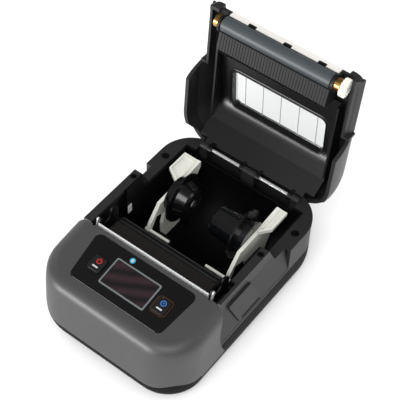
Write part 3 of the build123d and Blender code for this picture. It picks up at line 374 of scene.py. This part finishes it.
skin("power_mark", [ink_ring(1.3, 1.85, POWER_MARK, math.radians(125), math.radians(415)),
                    ink(rounded(0.6, 2.1, 0.2), (-24.8, 2.3), KEY_FACE, 0.14)],
     red_ink, "power_key")
skin("power_bar", [ink(KEY_BAR, (-KEY_X, KEY_BAR_V), KEY_FACE, 0.1)], pale_ink, "power_key")
arrow = np.array([(-0.8, 0.3), (0.8, 0.3), (0.0, -0.9)])
skin("feed_mark", [ink_ring(1.4, 2.0, FEED_MARK), ink(arrow, (25.2, 1.2), KEY_FACE, 0.14)],
     blue_ink, "feed_key")
skin("feed_bar", [ink(KEY_BAR, (KEY_X, KEY_BAR_V), KEY_FACE, 0.1)], pale_ink, "feed_key")
skin("feed_ring", [panel(frame_band(11.2, 12.2, 2.7, 0.28, PANEL_FACE - INK_ROOT, PANEL_FACE + 0.08,
                                    (KEY_X, -0.8)))], amber_ink, "base")
# Screen: one flat pane over the glass and the inner part of its grey frame, which leaves a thin rim of frame
SCREEN_BASE, SCREEN_TOP = 0.45, 0.66
skin("screen_pane", [panel(raised(rounded(32.6, 18.1, 0.7), SCREEN_BASE, SCREEN_TOP, 0.1))],
     screen_glass, "base")
skin("panel_dot", [ink(oval(1.9, 1.9, 28), DOT, PANEL_FACE, 0.1, ease=0.04)], cyan_ink, "base")
skin("dot_middle", [panel(raised(oval(0.8, 1.1, 20) + DOT, PANEL_FACE, PANEL_FACE + 0.15, 0.04))],
     pale_ink, "base")

# Print head: thin ridges that guide the paper, one behind the other, each at y, z with its radius
RIDGE_HALF = 38.5
RIDGES = ((-41.2, 52.1, 0.45), (-27.1, 51.3, 0.5), (-23.8, 50.5, 0.45),
          (-21.7, 43.4, 0.6), (-18.6, 39.5, 0.4), (-15.2, 35.2, 0.4))
skin("paper_ridges", [bar(round_profile(y, z, radius), -RIDGE_HALF, RIDGE_HALF) for y, z, radius in RIDGES],
     frame_abs, "base")


# Cover: every piece here is drawn with the cover closed
def cover_bars(name, profile, half_width, middles, ease, material):
    """A row of short bars on the cover: one side profile, repeated at each middle along X."""
    return skin(name, [swing(bar(profile, x - half_width, x + half_width, ease)) for x in middles],
                material, "cover")


# Black tabs on the strip over the platen
cover_bars("edge_tabs", [(-38.5, 62.8), (-36.9, 62.6), (-36.7, 64.4), (-38.4, 64.6)], 2.9,
           (-23.0, 3.0, 28.0), 0.3, carrier_abs)
# Fine ribs along the carrier, and a comb of small hooks between them at its rear edge
rib_x = np.linspace(-38.2, 38.2, 39)
comb_x = rib_x[:-1] + 1.0
cover_bars("carrier_ribs", [(-30.5, 53.5), (-30.5, 54.1), (-19.2, 52.2), (-19.2, 51.55)], 0.28,
           rib_x, 0.1, carrier_abs)
cover_bars("carrier_comb", [(-19.0, 52.2), (-17.6, 53.0), (-17.6, 54.8), (-16.6, 54.8), (-16.6, 52.4),
                            (-18.6, 51.2)], 0.5, comb_x, 0.1, carrier_abs)

# Window: ribs across the pane's inner face
PANE_FRONT, PANE_REAR = 8.5, 40.1
RIB_ROOT, RIB_RISE = 0.1, 0.4
SKIN_FROM, SKIN_HEIGHT, SKIN_SLOPE = -45.8, 66.9, 11.1 / 87.5
PANE_DEPTH = 2.2


def pane_height(y):
    """Height of the pane's inner face over y: the straight slope of the cover's skin, less the pane's depth."""
    return SKIN_HEIGHT + (y - SKIN_FROM) * SKIN_SLOPE - PANE_DEPTH


cover_bars("window_ribs", [(PANE_FRONT, pane_height(PANE_FRONT) + RIB_ROOT),
                           (PANE_REAR, pane_height(PANE_REAR) + RIB_ROOT),
                           (PANE_REAR, pane_height(PANE_REAR) - RIB_RISE),
                           (PANE_FRONT, pane_height(PANE_FRONT) - RIB_RISE)], 0.22,
           (-28.0, -14.0, 0.0, 14.0, 28.0), 0.1, pane_rib)


# Window: two moulded rims round it on the liner
LINER_FROM, LINER_HEIGHT, LINER_SLOPE = 3.7, 67.6, 0.1247
BEND_FROM, BEND = 34.4, 0.03
RIM_MIDDLE = (0.0, 24.2)


def liner_height(y):
    """Height of the rims' seat over y: 67.6 + 0.1247 (y - 3.7), which is the liner's face up to its bend, less
    0.03 (y - 34.4)^2 past y 34.4. The liner bends sooner: the seat is 0.7 mm inside it at y 41.5, 1.1 at 43."""
    return LINER_HEIGHT + (y - LINER_FROM) * LINER_SLOPE - BEND * np.maximum(y - BEND_FROM, 0)**2


def rim(section):
    """A rim round the window: each (distance out, height off its seat) of its section is carried round a
    rounded rectangle, moved out along that line's own normal."""
    loop = rounded(72.0, 33.0, 4.0, 8)
    along = np.roll(loop, -1, axis=0) - np.roll(loop, 1, axis=0)
    outward = np.column_stack([along[:, 1], -along[:, 0]]) / np.linalg.norm(along, axis=1, keepdims=True)
    sides = []
    for out, lift in section:
        place = loop + RIM_MIDDLE + outward * out
        sides.append(np.column_stack([place, liner_height(place[:, 1]) - lift]))
    ring = np.stack(sides, axis=1)
    return swing(np.concatenate([ring, ring[:1]]))


inner_rim = [(0.1, -0.6), (0.1, 0.6), (0.5, 0.8), (0.9, 0.5), (0.9, -0.6)]
outer_rim = [(1.7, -0.6), (1.7, 0.3), (2.1, 0.5), (2.5, 0.3), (2.5, -0.6)]
skin("window_rim", [rim(inner_rim), rim(outer_rim)], inner_abs, "cover")

# Bay: a pale sensor plate on the left wall
skin("wall_plate", [bar([(-11.3, 36.6), (-7.5, 36.6), (-7.5, 43.6), (-11.3, 43.6)], -46.1, -45.4)],
     pale_ink, "base")


# Hub: raised spokes on the short plug's end
SPOKE_IN, SPOKE_OUT, SPOKE_HALF = 3.6, 8.8, 0.5
SPOKE_LEFT, SPOKE_RIGHT = -15.7, -15.1


def spoke(turn):
    """A radial bar on the plug's end, 1 mm wide, turned about the hub's axis."""
    length = np.array([SPOKE_IN, SPOKE_OUT, SPOKE_OUT, SPOKE_IN])
    width = np.array([-SPOKE_HALF, -SPOKE_HALF, SPOKE_HALF, SPOKE_HALF])
    y = BAY_Y + length * math.cos(turn) - width * math.sin(turn)
    z = BAY_Z + length * math.sin(turn) + width * math.cos(turn)
    return bar(np.column_stack([y, z]), SPOKE_LEFT, SPOKE_RIGHT, 0.1)


skin("hub_spokes", [spoke(math.radians(turn)) for turn in range(0, 360, 60)],
     hub_acetal, "left_hub")

# Release button: painted shade, a dark strip on its side along its lower edge where the gap under it lies in
# shadow
skin("release_gap_shade", [bar([(-26.8, 29.8), (-7.8, 29.8), (-8.2, 31.0), (-27.2, 31.0)], 58.0, 58.64, 0.2)],
     black_base_and_gap_shade, "release")

# Tray and painted shadow: a black skirt laid over the front shell's lower edge. It is partly the tray's own
# black and partly painted shadow of the gap under the shell, and it is deepest at the right-hand front corner
HALF_WIDTH, CORNER, FRONT_Y = 58.5, 25.0, -94.3
SKIRT_LEFT, SKIRT_RIGHT = -62.0, 74.0
SKIRT_FOOT, SKIRT_TOP = 12.5, 14.2
SKIRT_PROUD, SKIRT_THICK = 0.08, 0.9
RAY_START = 30.0
DEEP_RISE, DEEP_AT, DEEP_SPREAD = 5.6, 54.0, 11.0


def outline_place(s):
    """Place and outward direction on the housing's plan outline, s along its front from the middle: straight,
    then a round corner, then straight back along the side."""
    straight = HALF_WIDTH - CORNER
    side = 1.0 if s > 0 else -1.0
    turn = min(max((abs(s) - straight) / CORNER, 0.0), math.pi / 2)
    along = max(abs(s) - straight - CORNER * math.pi / 2, 0.0)
    place = Vector((side * (min(abs(s), straight) + CORNER * math.sin(turn)),
                    FRONT_Y + CORNER * (1 - math.cos(turn)) + along, 0.0))
    return place, Vector((side * math.sin(turn), -math.cos(turn), 0.0))


def on_shell(place, out, z):
    """The point of the front shell met from outside at height z, moved out to the skirt's face, or None where
    the ray misses. The shell is a loft without a short formula, so a ray finds it."""
    start = place + RAY_START * out
    start.z = z
    hit, spot, _, _ = bpy.data.objects["front_shell"].ray_cast(start * MM, -out)
    return spot / MM + SKIRT_PROUD * out if hit else None


def skirt():
    """Rings across the skirt, along the front. Its top over s is 14.2 + 5.6 exp(-((s - 54) / 11)^2)."""
    rings = []
    for s in np.linspace(SKIRT_LEFT, SKIRT_RIGHT, 110):
        place, out = outline_place(s)
        top = SKIRT_TOP + DEEP_RISE * math.exp(-((s - DEEP_AT) / DEEP_SPREAD)**2)
        face = [on_shell(place, out, z) for z in np.linspace(SKIRT_FOOT, top, 5)]
        if None not in face:
            rings.append(face + [face[-1] - SKIRT_THICK * out, face[0] - SKIRT_THICK * out])
    return np.array(rings)


# The skirt is partly painted shade: dead black over the shell's lower edge, for the tray and for the shadowed
# gap beneath it
skin("tray_and_gap_shade_skirt", [skirt()], black_base_and_gap_shade, "base")


# Floor, lights and camera, in metres
def paper_sweep(name, half, colour):
    """A flat square sheet of matt paper at the object's foot."""
    square = np.array([(-half, -half, 0.0), (half, -half, 0.0), (half, half, 0.0), (-half, half, 0.0)])
    mesh = bpy.data.meshes.new(name)
    mesh.from_pydata(square.tolist(), [], [(0, 1, 2, 3)])
    sheet = bpy.data.objects.new(name, mesh)
    bpy.context.scene.collection.objects.link(sheet)
    paper = bpy.data.materials.new("paper_sweep")
    paper.use_nodes = True
    shader = paper.node_tree.nodes["Principled BSDF"]
    shader.inputs["Base Color"].default_value = linear(colour)
    shader.inputs["Roughness"].default_value = 0.9
    mesh.materials.append(paper)


def studio_room(light, mirror):
    """An even white room of one strength, whose mirror image in the plastics has a lower one, as in a light
    tent with dark ends."""
    world = bpy.data.worlds.new("studio")
    bpy.context.scene.world = world
    world.use_nodes = True
    tree = world.node_tree
    sky = tree.nodes["Background"]
    sky.inputs["Color"].default_value = (1, 1, 1, 1)
    ray = node(tree, "ShaderNodeLightPath")
    dim = node(tree, "ShaderNodeMix", {"Factor": ray.outputs["Is Glossy Ray"]})
    dim.inputs["A"].default_value = light
    dim.inputs["B"].default_value = mirror
    tree.links.new(dim.outputs["Result"], sky.inputs["Strength"])


def softbox(name, place, size, power, aim=(0, 0, 0.04)):
    """An area light of a width and height at a place, turned to face its aim."""
    lamp = bpy.data.lights.new(name, "AREA")
    lamp.shape = "RECTANGLE"
    lamp.size, lamp.size_y = size
    lamp.energy = power
    holder = bpy.data.objects.new(name, lamp)
    holder.location = place
    holder.rotation_euler = (Vector(aim) - Vector(place)).to_track_quat("-Z", "Y").to_euler()
    bpy.context.scene.collection.objects.link(holder)
    return holder


paper_sweep("floor", 3.0, "#FAFAFA")
# A plain transform keeps the paper white and the blacks deep, as in a catalogue picture
bpy.context.scene.view_settings.view_transform = "Standard"
studio_room(light=1.0, mirror=0.16)
softbox("softbox_front", (0.24, -0.68, 0.88), (0.7, 0.6), 6.5)
# Low in front: it only draws the soft band of light on the bend inside the cover
low_light = softbox("softbox_low", (-0.50, -1.15, 0.12), (0.6, 0.35), 22.0, aim=(0, 0.07, 0.10))
low_light.visible_diffuse = False
softbox("softbox_left", (-0.9, 0.1, 0.5), (0.6, 0.6), 1.5)
softbox("softbox_right", (0.9, 0.5, 0.6), (0.6, 0.6), 1.5)

# The camera stands at the photograph's angle, to the right and above. The best fit to the photograph has its
# lens axis at AXIS_PIXEL, away from the middle, and the camera's shift puts it there.
AZIMUTH, ELEVATION, REACH = math.radians(38.4), math.radians(55.03), 0.7005
TARGET = Vector((0.0, -0.0323, 0.030))
PICTURE_PIXELS = 400.0
AXIS_PIXEL = (162.94, 275.31)
back = Vector((math.sin(AZIMUTH) * math.cos(ELEVATION), -math.cos(AZIMUTH) * math.cos(ELEVATION),
               math.sin(ELEVATION)))
right = Vector((math.cos(AZIMUTH), math.sin(AZIMUTH), 0.0))
up = back.cross(right)
camera = bpy.data.cameras.new("camera")
camera.sensor_width = 36.0
camera.lens = 99.0
camera.shift_x = 0.5 - AXIS_PIXEL[0] / PICTURE_PIXELS
camera.shift_y = AXIS_PIXEL[1] / PICTURE_PIXELS - 0.5
camera_holder = bpy.data.objects.new("camera", camera)
facing = Matrix((right, up, back)).transposed().to_4x4()
camera_holder.matrix_world = Matrix.Translation(TARGET + back * REACH) @ facing
bpy.context.scene.collection.objects.link(camera_holder)
bpy.context.scene.camera = camera_holder
